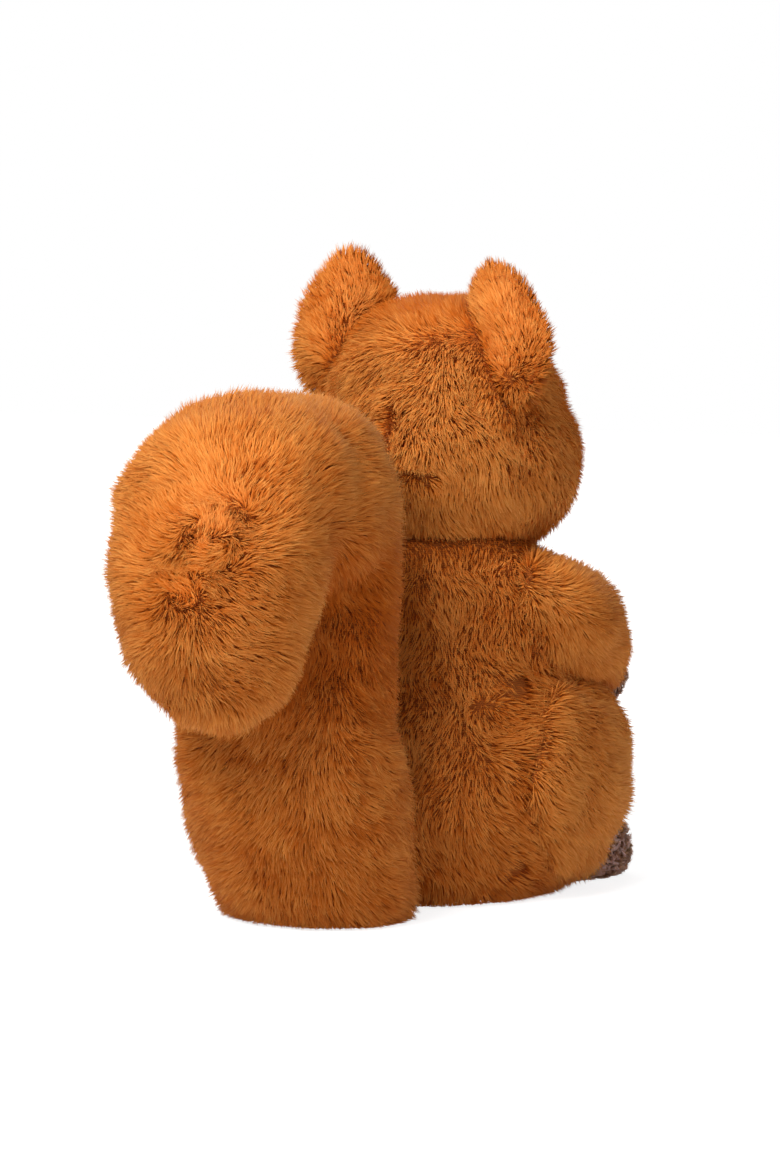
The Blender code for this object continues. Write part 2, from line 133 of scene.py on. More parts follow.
LIGHT_THROUGH = 0.28  # the share of the light that passes through a thin strand
SEWN_REACH = (0.0012, 0.0085)  # nearer to a neighbour a skin is sewn down, and farther it is free
UNDERSIDE_SHARE = 0.8  # how much less a skin is drawn in where it stands on the floor
LINING_INSET = 0.0008  # how far an ear lining's skin lies inside its solid
SEAM_LIFT = 0.0008  # the lowest that a skin may lie
STRAND_LIFT = 0.0004  # the lowest that a strand may lie
SEAM_REACH = 0.009  # how far from an open seam the pile is trimmed short
SEAM_PAINTED_SHADE = 0.7  # painted shade in the gap at an open seam: how much the trimmed pile's tone is lowered
OPEN_SEAM_DEPTH = 0.0012  # how far a strand may reach into a neighbour at an open seam
COVERED_SEAM_DEPTH = 0.0050  # and at a covered one
FLOOR_GLOW = 1.35  # the floor is as white as the background, and keeps a faint shadow
FLOOR_GLOW_SHARE = 0.62  # near the squirrel; far off it is 1
CAMERA_TARGET = Vector((0, 0.031, 0.1226))
# How far each lamp stands from the middle towards the camera, to its right and up, and its size
LAMPS = {
    "key": (0.95, -0.60, 1.05, 0.9),
    "fill": (1.20, 0.60, 0.55, 1.2),
    "front": (-1.1, 0.0, 0.7, 1.2),
}
FOOT_ROUND_HEIGHT = 0.016  # the skins' lower edges are rounded up to here


def length_prop(name, default, description):
    return FloatProperty(name=name, default=default, min=0.0, unit="LENGTH", description=description)


def share_prop(name, default, description):
    return FloatProperty(
        name=name, default=default, min=0.0, max=1.0, subtype="FACTOR", description=description
    )


def angle_prop(name, default_deg, description):
    default = math.radians(default_deg)
    return FloatProperty(name=name, default=default, subtype="ANGLE", description=description)


def colour_prop(name, default, description):
    return FloatVectorProperty(
        name=name, default=default, size=3, min=0.0, max=1.0, subtype="COLOR", description=description
    )


class FillingSettings(bpy.types.PropertyGroup):
    """How the skins are cut and filled."""

    inset: length_prop("Inset", 0.0031, "How far the rust skins lie inside the pile's outer face")
    fleece_inset: length_prop("Fleece inset", 0.0028, "How far the paws' and feet's skins lie inside")
    ear_inset: length_prop("Ear inset", 0.0025, "How far the ears' skins lie inside")
    pressure: FloatProperty(name="Pressure", default=4.0, min=0.0, description="Of the filling")
    steps: IntProperty(name="Steps", default=20, min=2, description="Frames of the filling's simulation")
    swell: length_prop("Swell", 0.0022, "The most that a point may move while the skin fills")
    lumps: length_prop("Lumps", 0.0008, "Height of the uneven filling")
    lump_width: length_prop("Lump width", 0.028, "Distance between the lumps")
    fabric: colour_prop("Fabric", (0.30, 0.075, 0.010), "The knitted ground of the rust fur")


class RustPileSettings(bpy.types.PropertyGroup):
    """The rust fur."""

    length: length_prop("Length", 0.0078, "Of a strand")
    width: length_prop("Width", 0.00044, "Of a strand at its widest")
    lean: angle_prop("Lean", 62.0, "Of a strand's upper half from upright")
    lock_size: length_prop("Lock size", 0.0018, "Distance between the locks that strands gather in")
    gather: share_prop("Gather", 0.26, "How far a strand's end is drawn to the middle of its lock")
    strays: share_prop("Strays", 0.22, "How many strands stand up out of the others")
    root: colour_prop("Root", (0.34, 0.058, 0.005), "Colour at the foot of a strand")
    middle: colour_prop("Middle", (0.60, 0.152, 0.010), "Colour half-way up")
    tip: colour_prop("Tip", (0.84, 0.36, 0.065), "Colour at the tip")
    sheen: share_prop("Sheen", 0.10, "Soft shine at a grazing angle")


class FleeceSettings(bpy.types.PropertyGroup):
    """The curly taupe fleece of the paws and feet."""

    length: length_prop("Length", 0.0058, "Of a curl, stretched out")
    width: length_prop("Width", 0.00055, "Of a strand")
    lock_size: length_prop("Lock size", 0.0026, "Distance between the curls")
    gather: share_prop("Gather", 0.7, "How far a strand is drawn to the middle of its curl")
    curl: length_prop("Curl", 0.0011, "How far a curl swings to the side")
    root: colour_prop("Root", (0.20, 0.10, 0.07), "Colour at the foot of a strand")
    middle: colour_prop("Middle", (0.50, 0.31, 0.245), "Colour half-way up")
    tip: colour_prop("Tip", (0.70, 0.47, 0.37), "Colour at the tip")


class LiningSettings(bpy.types.PropertyGroup):
    """The short greyish pile inside the ears."""

    length: length_prop("Length", 0.0038, "Of a strand")
    width: length_prop("Width", 0.00036, "Of a strand")
    root: colour_prop("Root", (0.10, 0.07, 0.055), "Colour at the foot of a strand")
    middle: colour_prop("Middle", (0.24, 0.18, 0.15), "Colour half-way up")
    tip: colour_prop("Tip", (0.40, 0.33, 0.29), "Colour at the tip")


class FaceSettings(bpy.types.PropertyGroup):
    """The eyes and the nose."""

    eye: colour_prop("Eye", (0.012, 0.008, 0.006), "Moulded plastic")
    thread: colour_prop("Thread", (0.030, 0.015, 0.009), "The nose's embroidery thread")
    thread_width: length_prop("Thread width", 0.00075, "Distance between two stitches")
    stitch_depth: length_prop("Stitch depth", 0.00016, "Depth of the furrow between two stitches")


class StudioSettings(bpy.types.PropertyGroup):
    """The camera, the floor and the light."""

    azimuth: angle_prop("Azimuth", 212.0, "Of the camera, round from the squirrel's front")
    elevation: angle_prop("Elevation", 5.3, "Of the camera above the horizon")
    distance: length_prop("Distance", 1.52, "From the camera to the point it looks at")
    lens: FloatProperty(name="Lens", default=120.0, subtype="DISTANCE_CAMERA", description="Focal length")
    floor: length_prop("Floor", 6.0, "Width of the floor")
    sky: FloatProperty(name="Sky", default=0.16, min=0.0, description="Light from all round")
    key: FloatProperty(name="Key", default=34.0, min=0.0, unit="POWER", description="The large soft lamp")
    front: FloatProperty(name="Front", default=9.0, min=0.0, unit="POWER", description="On the face")
    fill: FloatProperty(name="Fill", default=6.0, min=0.0, unit="POWER", description="Opposite the key")


# Shader maths


class Wire:
    """One output of a node tree, or a number. Expressions on it add Math nodes."""

    def __init__(self, finish, socket):
        self.finish = finish
        self.socket = socket

    def maths(self, operation, first, second):
        return self.finish.node("ShaderNodeMath", {"operation": operation}, {0: first, 1: second})

    def __add__(self, other):
        return self.maths("ADD", self, other)

    def __radd__(self, other):
        return self.maths("ADD", other, self)

    def __sub__(self, other):
        return self.maths("SUBTRACT", self, other)

    def __rsub__(self, other):
        return self.maths("SUBTRACT", other, self)

    def __mul__(self, other):
        return self.maths("MULTIPLY", self, other)

    def __rmul__(self, other):
        return self.maths("MULTIPLY", other, self)


class Finish:
    """A material or world that is put together node by node."""

    def __init__(self, owner):
        self.owner = owner
        owner.use_nodes = True
        self.tree = owner.node_tree
        self.tree.nodes.clear()

    def node(self, kind, settings=None, inputs=None, output=0):
        """Adds a node with its settings first and then its sockets' values or links."""
        made = self.tree.nodes.new(kind)
        for name, value in (settings or {}).items():
            if name == "stops":
                self.set_stops(made.color_ramp, value)
            else:
                setattr(made, name, value)
        for name, value in (inputs or {}).items():
            socket = made.inputs[name]
            if isinstance(value, Wire):
                self.tree.links.new(value.socket, socket)
            else:
                socket.default_value = value
        return Wire(self, made.outputs[output]) if len(made.outputs) else made

    @staticmethod
    def set_stops(ramp, stops):
        while len(ramp.elements) < len(stops):
            ramp.elements.new(1.0)
        for element, (place, colour) in zip(ramp.elements, stops):
            element.position = place
            element.color = (*colour, 1.0)

    def attribute(self, name):
        return self.node("ShaderNodeAttribute", {"attribute_name": name}, output="Fac")

    def blend(self, share, first, second):
        """A colour between two others."""
        settings = {"data_type": "RGBA", "clamp_factor": True}
        return self.node("ShaderNodeMix", settings, {0: share, 6: first, 7: second}, output=2)

    def place(self):
        return self.node("ShaderNodeTexCoord", output="Object")

    def noise(self, scale, detail=3.0, roughness=0.55):
        inputs = {"Vector": self.place(), "Scale": scale, "Detail": detail, "Roughness": roughness}
        return self.node("ShaderNodeTexNoise", None, inputs, output="Fac")

    def ramp(self, share, stops):
        return self.node("ShaderNodeValToRGB", {"stops": stops}, {"Fac": share}, output="Color")

    def bump(self, height, strength, distance):
        inputs = {"Height": height, "Strength": strength, "Distance": distance}
        return self.node("ShaderNodeBump", None, inputs)

    def principled(self, inputs):
        return self.node("ShaderNodeBsdfPrincipled", None, inputs)

    def surface(self, shader):
        self.node("ShaderNodeOutputMaterial", None, {"Surface": shader})
        return self.owner


def new_finish(name):
    return Finish(bpy.data.materials.new(name))


def shaded(colour, share):
    """A darker or lighter form of a colour, as a list of three numbers."""
    return [min(part * share, 1.0) for part in colour]


def warmed(colour, share):
    """A redder form of a colour, with this share of its green and less of its blue."""
    return [colour[0], colour[1] * share, colour[2] * share**3]


def pile_finish(name, root, middle, tip, sheen):
    """Strands: darker at the foot, and from one strand and lock to the next a little different."""
    finish = new_finish(name)
    along, tone = finish.attribute("along"), finish.attribute("tone")
    # Painted light and shade: the deep ramp is darker and redder, as the fur looks in shade, and the
    # bright one lighter and yellower, as it looks in light; the tone picks between them.
    deep_middle, deep_tip = warmed(shaded(middle, 0.66), 0.72), warmed(shaded(tip, 0.74), 0.53)
    bright_middle, bright_tip = shaded(middle, 1.45), warmed(shaded(tip, 1.16), 1.18)
    deep = [(0.0, shaded(root, 0.7)), (0.35, deep_middle), (1.0, deep_tip)]
    bright = [(0.0, shaded(root, 1.4)), (0.35, bright_middle), (1.0, bright_tip)]
    colour = finish.blend(tone, finish.ramp(along, deep), finish.ramp(along, bright))
    shader = finish.principled(
        {
            "Base Color": colour,
            "Roughness": 0.72 - 0.12 * along,
            "Specular IOR Level": 0.08,
            "Sheen Weight": sheen,
            "Sheen Roughness": 0.45,
            "Sheen Tint": (1.0, 0.62, 0.30, 1.0),
        }
    )
    through_colour = warmed([(part + other) / 2 for part, other in zip(middle, tip)], 0.8)
    through = finish.node("ShaderNodeBsdfTranslucent", None, {"Color": (*through_colour, 1.0)})
    mixed = finish.node("ShaderNodeMixShader", None, {0: LIGHT_THROUGH, 1: shader, 2: through})
    return finish.surface(mixed)


def knit_finish(name, colour):
    """The fabric that the strands grow from: fine rows of loops."""
    finish = new_finish(name)
    cloudy = finish.noise(90.0)
    rows = {"Vector": finish.place(), "Scale": 420.0, "Distortion": 1.5, "Detail": 2.0}
    loops = finish.node("ShaderNodeTexWave", {"bands_direction": "Z"}, rows, output="Fac")
    wear = cloudy * 0.6 + loops * 0.4
    shader = finish.principled(
        {
            "Base Color": finish.ramp(wear, [(0.2, shaded(colour, 0.6)), (0.9, shaded(colour, 1.3))]),
            "Roughness": 0.8 + 0.15 * cloudy,
            "Specular IOR Level": 0.15,
            "Normal": finish.bump(loops, 0.5, 0.0003),
        }
    )
    return finish.surface(shader)


def eye_finish(name, colour):
    """Polished dark plastic with a little dust on it."""
    finish = new_finish(name)
    dust, swirl = finish.noise(900.0, 4.0), finish.noise(260.0, 2.0)
    shader = finish.principled(
        {
            "Base Color": finish.ramp(swirl, [(0.3, shaded(colour, 0.6)), (0.75, shaded(colour, 2.2))]),
            "Roughness": 0.09 + 0.12 * dust,
            "Specular IOR Level": 0.18,
            "Coat Weight": 0.06,
            "Coat Roughness": 0.05,
            "Normal": finish.bump(dust, 0.06, 0.0001),
        }
    )
    return finish.surface(shader)


def thread_finish(name, colour):
    """Embroidery thread: satin, with the fine twist of its fibres."""
    finish = new_finish(name)
    twist = finish.node(
        "ShaderNodeTexWave",
        {"bands_direction": "DIAGONAL"},
        {"Vector": finish.place(), "Scale": 900.0, "Distortion": 2.0, "Detail": 2.0},
        output="Fac",
    )
    shader = finish.principled(
        {
            "Base Color": finish.ramp(twist, [(0.0, shaded(colour, 0.6)), (1.0, shaded(colour, 1.8))]),
            "Roughness": 0.42 + 0.2 * twist,
            "Normal": finish.bump(twist, 0.4, 0.0001),
        }
    )
    return finish.surface(shader)


# Skins

trees = {}


def solid_tree(node):
    """The solid's surface, to measure from."""
    if node not in trees:
        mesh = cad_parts[node].data
        places = [point.co[:] for point in mesh.vertices]
        trees[node] = BVHTree.FromPolygons(places, [face.vertices[:] for face in mesh.polygons])
    return trees[node]


def middle_of(node):
    low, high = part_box(node)
    return (Vector(low) + Vector(high)) / 2


def coords(mesh):
    found = np.empty(len(mesh.vertices) * 3)
    mesh.vertices.foreach_get("co", found)
    return found.reshape(-1, 3)


def vertex_normals(mesh):
    found = np.empty(len(mesh.vertices) * 3)
    mesh.vertex_normals.foreach_get("vector", found)
    return found.reshape(-1, 3)


def move_to(mesh, places):
    mesh.vertices.foreach_set("co", np.ascontiguousarray(places, dtype=np.float64).ravel())
    mesh.update()


def unit(vectors):
    return vectors / np.maximum(np.linalg.norm(vectors, axis=1, keepdims=True), 1e-9)


def ease(value):
    value = np.clip(value, 0.0, 1.0)
    return value * value * (3 - 2 * value)


def wander(places, width, seed, waves=8):
    """Smooth numbers, mostly between -1 and 1, that change over about this width."""
    rng = np.random.default_rng(seed)
    ways = unit(rng.normal(size=(waves, 3))) * (2 * math.pi / width)
    ways *= rng.uniform(0.6, 1.3, size=(waves, 1))
    phases = rng.uniform(0, 2 * math.pi, waves)
    return np.sin(places @ ways.T + phases).sum(axis=1) / math.sqrt(waves)


def new_object(name, data):
    made = bpy.data.objects.new(name, data)
    bpy.context.scene.collection.objects.link(made)
    return made


def apply_all(piece):
    """Puts the result of a piece's modifiers in its mesh."""
    graph = bpy.context.evaluated_depsgraph_get()
    made = bpy.data.meshes.new_from_object(piece.evaluated_get(graph))
    old = piece.data
    piece.modifiers.clear()
    piece.data = made
    made.name = piece.name
    bpy.data.meshes.remove(old)


def far_from(places, neighbours, near, far):
    """0 where a place is nearer than near to one of the solids, 1 beyond far, smooth between."""
    shares = np.ones(len(places))
    for node in neighbours:
        tree = solid_tree(node)
        for index, place in enumerate(places):
            found = tree.find_nearest(Vector(place), far)
            if found[0] is not None:
                shares[index] = min(shares[index], (found[3] - near) / (far - near))
    return ease(shares)


def fill_skin(skin, filling, free):
    """Swells the skin with the filling's pressure. Where it is sewn to a neighbour it moves less."""
    start = coords(skin.data)
    cloth = skin.modifiers.new("filling", "CLOTH")
    cloth.settings.use_pressure = True
    cloth.settings.uniform_pressure_force = filling.pressure
    cloth.settings.effector_weights.gravity = 0
    cloth.settings.quality = 5
    scene = bpy.context.scene
    for step in range(1, filling.steps + 1):
        scene.frame_set(step)
    graph = bpy.context.evaluated_depsgraph_get()
    moved = coords(skin.evaluated_get(graph).data) - start
    skin.modifiers.clear()
    scene.frame_set(1)
    far = np.linalg.norm(moved, axis=1, keepdims=True)
    most = filling.swell * free[:, None]
    move_to(skin.data, start + moved * np.minimum(1.0, most / np.maximum(far, 1e-9)))


def round_foot(skin):
    """Rounds the lower edge of a skin that stands on the floor."""
    heights = coords(skin.data)[:, 2]
    if heights.min() > FOOT_ROUND_HEIGHT:
        return
    shares = 1 - ease((heights - FOOT_ROUND_HEIGHT / 2) / FOOT_ROUND_HEIGHT)
    rim = skin.vertex_groups.new(name="rim")
    for index in np.flatnonzero(shares > 0):
        rim.add([int(index)], float(shares[index]), "REPLACE")
    rounding = skin.modifiers.new("round foot", "SMOOTH")
    rounding.factor = 0.5
    rounding.iterations = 4
    rounding.vertex_group = "rim"
    apply_all(skin)


def cut_skin(node, cell, inset, finish_name, simulate=True):
    """A stuffed skin in the place of a solid, drawn in under its pile."""
    filling = bpy.context.scene.squirrel_filling
    name = node + "_skin"
    skin = new_object(name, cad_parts[node].data.copy())
    skin.data.name = name
    remesh = skin.modifiers.new("remesh", "REMESH")
    remesh.mode = "VOXEL"
    remesh.voxel_size = cell
    smooth = skin.modifiers.new("smooth", "SMOOTH")
    smooth.factor = 0.5
    smooth.iterations = 3
    apply_all(skin)
    round_foot(skin)
    start, normals = coords(skin.data), vertex_normals(skin.data)
    free = far_from(start, NEIGHBOURS[node], *SEWN_REACH)
    lumps = wander(start, filling.lump_width, len(name)) * filling.lumps
    under = np.clip(-normals[:, 2], 0, 1) * (start[:, 2] < FOOT_ROUND_HEIGHT)
    depth = (inset - lumps) * free * (1 - UNDERSIDE_SHARE * under)
    places = start - normals * depth[:, None]
    places[:, 2] = np.maximum(places[:, 2], SEAM_LIFT)
    move_to(skin.data, places)
    if simulate:
        fill_skin(skin, filling, free)
        places = coords(skin.data)
        places[:, 2] = np.maximum(places[:, 2], SEAM_LIFT)
        move_to(skin.data, places)
    skin.data.shade_smooth()
    skin.data.materials.clear()
    skin.data.materials.append(bpy.data.materials[finish_name])
    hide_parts(node)
    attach(skin, "root")
    return skin


# Pile

TONE_RANGE = (0.02, 0.98)
ROOT_DEPTH = 0.0006  # how far a strand's foot lies in the fabric
SWIRL_DEG = 24.0  # how far broad swirls turn the fur from the way it is combed
MESS_DEG = 9.0  # and how far one strand is turned from the next
BROAD_PATCH = 0.022  # widths of the patches in which the fur is longer or shorter, deeper or brighter
FINE_PATCH = 0.0065
STRAY_LEAN = (0.45, 0.85)  # a stray strand's share of the lean
ROLL_DEG = 58  # how far a strand's flat side may turn
LENGTH_SPREAD = (0.78, 1.10)  # the strands' shares of the length
WIDTH_SPREAD = (0.75, 1.25)
LEAN_RANGE = (0.1, 1.45)  # radians
LOWER_LEAN = 0.45  # the share of the lean that a strand has below its bend
LOWER_LENGTH, UPPER_LENGTH = 0.45, 0.58  # a strand's shares below and above its bend
STRAND_TONE, LOCK_TONE, PATCH_TONE = 0.15, 0.15, 0.08  # how much the tone changes from one to the next
LOCK_SPREAD = 0.8  # locks for each square of the lock size


def scatter(skin, count, rng):
    """Places spread evenly over the skin, and the skin's normal at each."""
    mesh = skin.data
    mesh.calc_loop_triangles()
    corners = np.empty(len(mesh.loop_triangles) * 3, dtype=np.int32)
    mesh.loop_triangles.foreach_get("vertices", corners)
    corners = corners.reshape(-1, 3)
    points, normals = coords(mesh), vertex_normals(mesh)
    a, b, c = (points[corners[:, k]] for k in range(3))
    areas = np.linalg.norm(np.cross(b - a, c - a), axis=1)
    reach = np.cumsum(areas)
    picks = (np.arange(count) + rng.random(count)) * (reach[-1] / count)
    chosen = np.minimum(np.searchsorted(reach, picks), len(areas) - 1)
    u, v = rng.random(count), rng.random(count)
    over = u + v > 1
    u[over], v[over] = 1 - u[over], 1 - v[over]
    shares = np.stack([1 - u - v, u, v], axis=1)[:, :, None]
    places = (points[corners[chosen]] * shares).sum(axis=1)
    return places, unit((normals[corners[chosen]] * shares).sum(axis=1))


def depth_inside(places, node, reach):
    """How deep each place lies inside a solid. 0 outside it, or farther than reach from its surface."""
    tree = solid_tree(node)
    low, high = (np.array(corner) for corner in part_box(node))
    near = np.flatnonzero(((places > low) & (places < high)).all(axis=1))
    depths = np.zeros(len(places))
    for index in near:
        place = Vector(places[index])
        found, normal, _, gap = tree.find_nearest(place, reach)
        if found is not None and (place - found).dot(normal) < 0:
            depths[index] = gap
    return depths


def lock_of(roots, size, rng):
    """For each root, the root in the middle of the lock that it belongs to."""
    spread = np.ptp(roots, axis=0)
    area = 2 * (spread[0] * spread[1] + spread[1] * spread[2] + spread[0] * spread[2])
    count = min(max(int(LOCK_SPREAD * area / (size * size)), 4), len(roots))
    middles = rng.choice(len(roots), count, replace=False)
    tree = KDTree(count)
    for index in middles:
        tree.insert(roots[index], int(index))
    tree.balance()
    return np.array([tree.find(root)[1] for root in roots])


def strand_piece(name, lines, width, roll, normals, tones, finish_name, soften):
    """Flat strands along lines of three or more points, pointed at both ends, as one mesh.

    The higher soften is, the more a strand is lit by its own lie and the less by its skin's."""
    count, points = lines.shape[:2]
    mids = points - 2
    each = 2 + 2 * mids
    along_line = unit(lines[:, -1] - lines[:, 0])
    across = unit(np.cross(along_line, normals))
    up = np.cross(across, along_line)
    across = across * np.cos(roll)[:, None] + up * np.sin(roll)[:, None]
    verts = np.empty((count, each, 3))
    verts[:, 0] = lines[:, 0]
    verts[:, -1] = lines[:, -1]
    for mid in range(mids):
        half = across * (width * 0.5)[:, None]
        verts[:, 1 + 2 * mid] = lines[:, 1 + mid] - half
        verts[:, 2 + 2 * mid] = lines[:, 1 + mid] + half
    pattern = [(0, 2, 1)]
    for mid in range(mids - 1):
        left, right = 1 + 2 * mid, 2 + 2 * mid
        pattern += [(left, right, right + 2), (left, right + 2, left + 2)]
    pattern.append((each - 3, each - 2, each - 1))
    pattern = np.array(pattern)
    corners = (np.arange(count)[:, None, None] * each + pattern[None]).reshape(-1, 3)
    mesh = bpy.data.meshes.new(name)
    mesh.vertices.add(count * each)
    mesh.vertices.foreach_set("co", verts.reshape(-1).astype(np.float32))
    mesh.loops.add(corners.size)
    mesh.loops.foreach_set("vertex_index", corners.reshape(-1).astype(np.int32))
    mesh.polygons.add(len(corners))
    mesh.polygons.foreach_set("loop_start", np.arange(0, corners.size, 3, dtype=np.int32))
    mesh.update(calc_edges=True)
    place = np.empty(each)
    place[0], place[-1] = 0.0, 1.0
    for mid in range(mids):
        place[1 + 2 * mid] = place[2 + 2 * mid] = (mid + 1) / (points - 1)
    along = np.tile(place, count).astype(np.float32)
    tone = np.repeat(np.clip(tones, *TONE_RANGE), each).astype(np.float32)
    mesh.attributes.new("along", "FLOAT", "POINT").data.foreach_set("value", along)
    mesh.attributes.new("tone", "FLOAT", "POINT").data.foreach_set("value", tone)
    flat = corners.reshape(-1)
    layout = mesh.uv_layers.new(name="OFBake")
    layout.data.foreach_set("uv", np.stack([tone[flat], along[flat]], axis=1).reshape(-1))
    facing = unit(normals + soften * along_line)
    mesh.polygons.foreach_set("use_smooth", np.ones(len(corners), dtype=bool))
    mesh.normals_split_custom_set_from_vertices(np.repeat(facing, each, axis=0).tolist())
    mesh.materials.append(bpy.data.materials[finish_name])
    piece = new_object(name, mesh)
    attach(piece, "root")


def combed(roots, normals, comb, seed, swirl_deg, mess_deg, rng):
    """The way the fur lies at each root, turned a little by broad and fine swirls, and how flat it lies.

    Where the comb's way points into or off the skin, as at a whorl, the fur stands up.
    """
    way = unit(comb(roots, normals))
    way = way - normals * (way * normals).sum(axis=1, keepdims=True)
    held = np.linalg.norm(way, axis=1)
    way = unit(way + 1e-4)
    turn = np.radians(swirl_deg) * wander(roots, 0.045, seed)
    turn += np.radians(swirl_deg * 0.7) * wander(roots, 0.016, seed + 1)
    turn += np.radians(mess_deg) * rng.normal(size=len(roots))
    side = np.cross(normals, way)
    return way * np.cos(turn)[:, None] + side * np.sin(turn)[:, None], ease(held / 0.75)


def keep_out(tips, node):
    """Which strands' ends stay clear of the neighbours' insides."""
    clear = np.ones(len(tips), dtype=bool)
    for other in NEIGHBOURS[node]:
        limit = COVERED_SEAM_DEPTH if other in COVERED_SEAMS.get(node, ()) else OPEN_SEAM_DEPTH
        clear &= depth_inside(tips, other, 0.03) < limit
    return clear


def seam_shares(roots, node):
    """Each strand's share of the full length: the pile is trimmed short beside an open seam."""
    shares = np.ones(len(roots))
    for other in NEIGHBOURS[node]:
        if other in COVERED_SEAMS.get(node, ()):
            continue
        low, high = (np.array(corner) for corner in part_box(other))
        tree = solid_tree(other)
        near = ((roots > low - SEAM_REACH) & (roots < high + SEAM_REACH)).all(axis=1)
        for index in np.flatnonzero(near):
            found = tree.find_nearest(Vector(roots[index]), SEAM_REACH)
            if found[0] is not None:
                shares[index] = min(shares[index], found[3] / SEAM_REACH)
    return 0.5 + 0.5 * ease(shares)


def fur(skin, node, name, plan, comb, shape=None, only=None, tuft=1.0, deep=None):
    """Rust fur on a skin. shape(roots) gives each strand's share of the full length and of the lean.

    only(roots) says which strands grow, tuft makes the locks wider and closer gathered, and
    deep(roots) is taken off the plan's tone: painted shade, and on the tail's whorl a deeper tone."""
    pile = bpy.context.scene.squirrel_rust
    rng = np.random.default_rng(plan.seed)
    roots, normals = scatter(skin, plan.strands, rng)
    if only is not None:
        chosen = only(roots)
        roots, normals = roots[chosen], normals[chosen]
    way, flat = combed(roots, normals, comb, plan.seed * 10, SWIRL_DEG, MESS_DEG, rng)
    longer, leaner = shape(roots) if shape else (np.ones(len(roots)), np.ones(len(roots)))
    broad = wander(roots, BROAD_PATCH, plan.seed * 10 + 2)
    fine = wander(roots, FINE_PATCH, plan.seed * 10 + 3)
    beside_seam = seam_shares(roots, node)
    longer = longer * beside_seam
    length = pile.length * longer * (1 + 0.10 * broad) * rng.uniform(*LENGTH_SPREAD, len(roots))
    unevenness = 1 + 0.11 * fine + 0.10 * rng.normal(size=len(roots))
    lean = pile.lean * leaner * (0.3 + 0.7 * flat) * unevenness
    stray = rng.random(len(roots)) < pile.strays
    lean[stray] *= rng.uniform(*STRAY_LEAN, stray.sum())
    lean = np.clip(lean, *LEAN_RANGE)
    lower = lean * LOWER_LEAN
    stand = normals * np.cos(lower)[:, None] + way * np.sin(lower)[:, None]
    lie = normals * np.cos(lean)[:, None] + way * np.sin(lean)[:, None]
    foot = roots - normals * ROOT_DEPTH
    bend = foot + stand * (length * LOWER_LENGTH)[:, None]
    end = bend + lie * (length * UPPER_LENGTH)[:, None]
    clear = keep_out(end, node)
    kept = (roots, normals, foot, bend, end, broad, fine, stray, beside_seam)
    roots, normals, foot, bend, end, broad, fine, stray, beside_seam = (part[clear] for part in kept)
    lock = lock_of(roots, pile.lock_size * tuft, rng)
    pull = pile.gather * tuft * rng.uniform(0.5, 1.0, len(roots)) * np.where(stray, 0.2, 1.0)
    bend = bend + (bend[lock] - bend) * (pull * 0.35)[:, None]
    end = end + (end[lock] - end) * pull[:, None]
    bend[:, 2] = np.maximum(bend[:, 2], STRAND_LIFT)
    end[:, 2] = np.maximum(end[:, 2], STRAND_LIFT)
    lock_tone = rng.uniform(-1, 1, len(roots))[lock]
    # The plan's tone holds the piece's painted light and shade, and each strand and lock varies it
    tones = plan.tone + STRAND_TONE * rng.normal(size=len(roots)) + LOCK_TONE * lock_tone
    tones = tones + PATCH_TONE * broad + PATCH_TONE * fine
    # Painted shade beside an open seam, in the gap between two parts
    tones -= SEAM_PAINTED_SHADE * (1 - beside_seam)
    # Painted shade on the crown and the tail's stem, and the whorl's deeper tone
    if deep:
        tones -= deep(roots)
    lines = np.stack([foot, bend, end], axis=1)
    roll = np.radians(rng.uniform(-ROLL_DEG, ROLL_DEG, len(roots)))
    width = pile.width * rng.uniform(*WIDTH_SPREAD, len(roots))
    strand_piece(name, lines, width, roll, normals, tones, "rust_pile", 0.35)


# At each point of a curl: how high it lies, how far it swings, and how far it is drawn to the
# middle of its lock, as shares
CURL_POINTS = ((0.0, 0.0, 0.0), (0.32, 1.0, 0.4), (0.68, 1.15, 0.85), (1.0, 1.0, 1.0))
CURL_TURN = 1.9  # radians from one point to the next
CURL_HEIGHT, CURL_LEAN = 0.72, 0.35  # shares of the length
CURL_ROOT_DEPTH = 0.0004


def fleece(skin, node, name, plan):
    """Curly fleece on a paw or foot: locks that stand up and swing from side to side."""
    pile = bpy.context.scene.squirrel_fleece
    rng = np.random.default_rng(plan.seed)
    roots, normals = scatter(skin, plan.strands, rng)
    ends = roots + normals * pile.length
    clear = keep_out(ends, node)
    roots, normals = roots[clear], normals[clear]
    lock = lock_of(roots, pile.lock_size, rng)
    way = unit(rng.normal(size=roots.shape))[lock]
    way = unit(way - normals * (way * normals).sum(axis=1, keepdims=True))
    side = np.cross(normals, way)
    turn = rng.uniform(0, 2 * math.pi, len(roots))[lock] + rng.normal(size=len(roots)) * 0.5
    length = pile.length * rng.uniform(0.7, 1.1, len(roots))
    lines = []
    for step, (rise, swing, _) in enumerate(CURL_POINTS):
        angle = turn + step * CURL_TURN
        point = roots - normals * CURL_ROOT_DEPTH + normals * (length * rise * CURL_HEIGHT)[:, None]
        aside = way * np.cos(angle)[:, None] + side * np.sin(angle)[:, None]
        point = point + aside * (pile.curl * swing)
        point = point + way * (length * CURL_LEAN * rise**2)[:, None]
        lines.append(point)
    lines = np.stack(lines, axis=1)
    pull = pile.gather * rng.uniform(0.4, 1.0, len(roots))
    for step, (_, _, share) in enumerate(CURL_POINTS):
        lines[:, step] += (lines[lock, step] - lines[:, step]) * (pull * share)[:, None]
    lines[:, :, 2] = np.maximum(lines[:, :, 2], STRAND_LIFT)
    tones = plan.tone + 0.16 * rng.normal(size=len(roots))
    tones = tones + 0.22 * rng.uniform(-1, 1, len(roots))[lock]
    roll = np.radians(rng.uniform(-60, 60, len(roots)))
    width = pile.width * rng.uniform(0.7, 1.2, len(roots))
    strand_piece(name, lines, width, roll, normals, tones, "fleece_pile", 0.6)


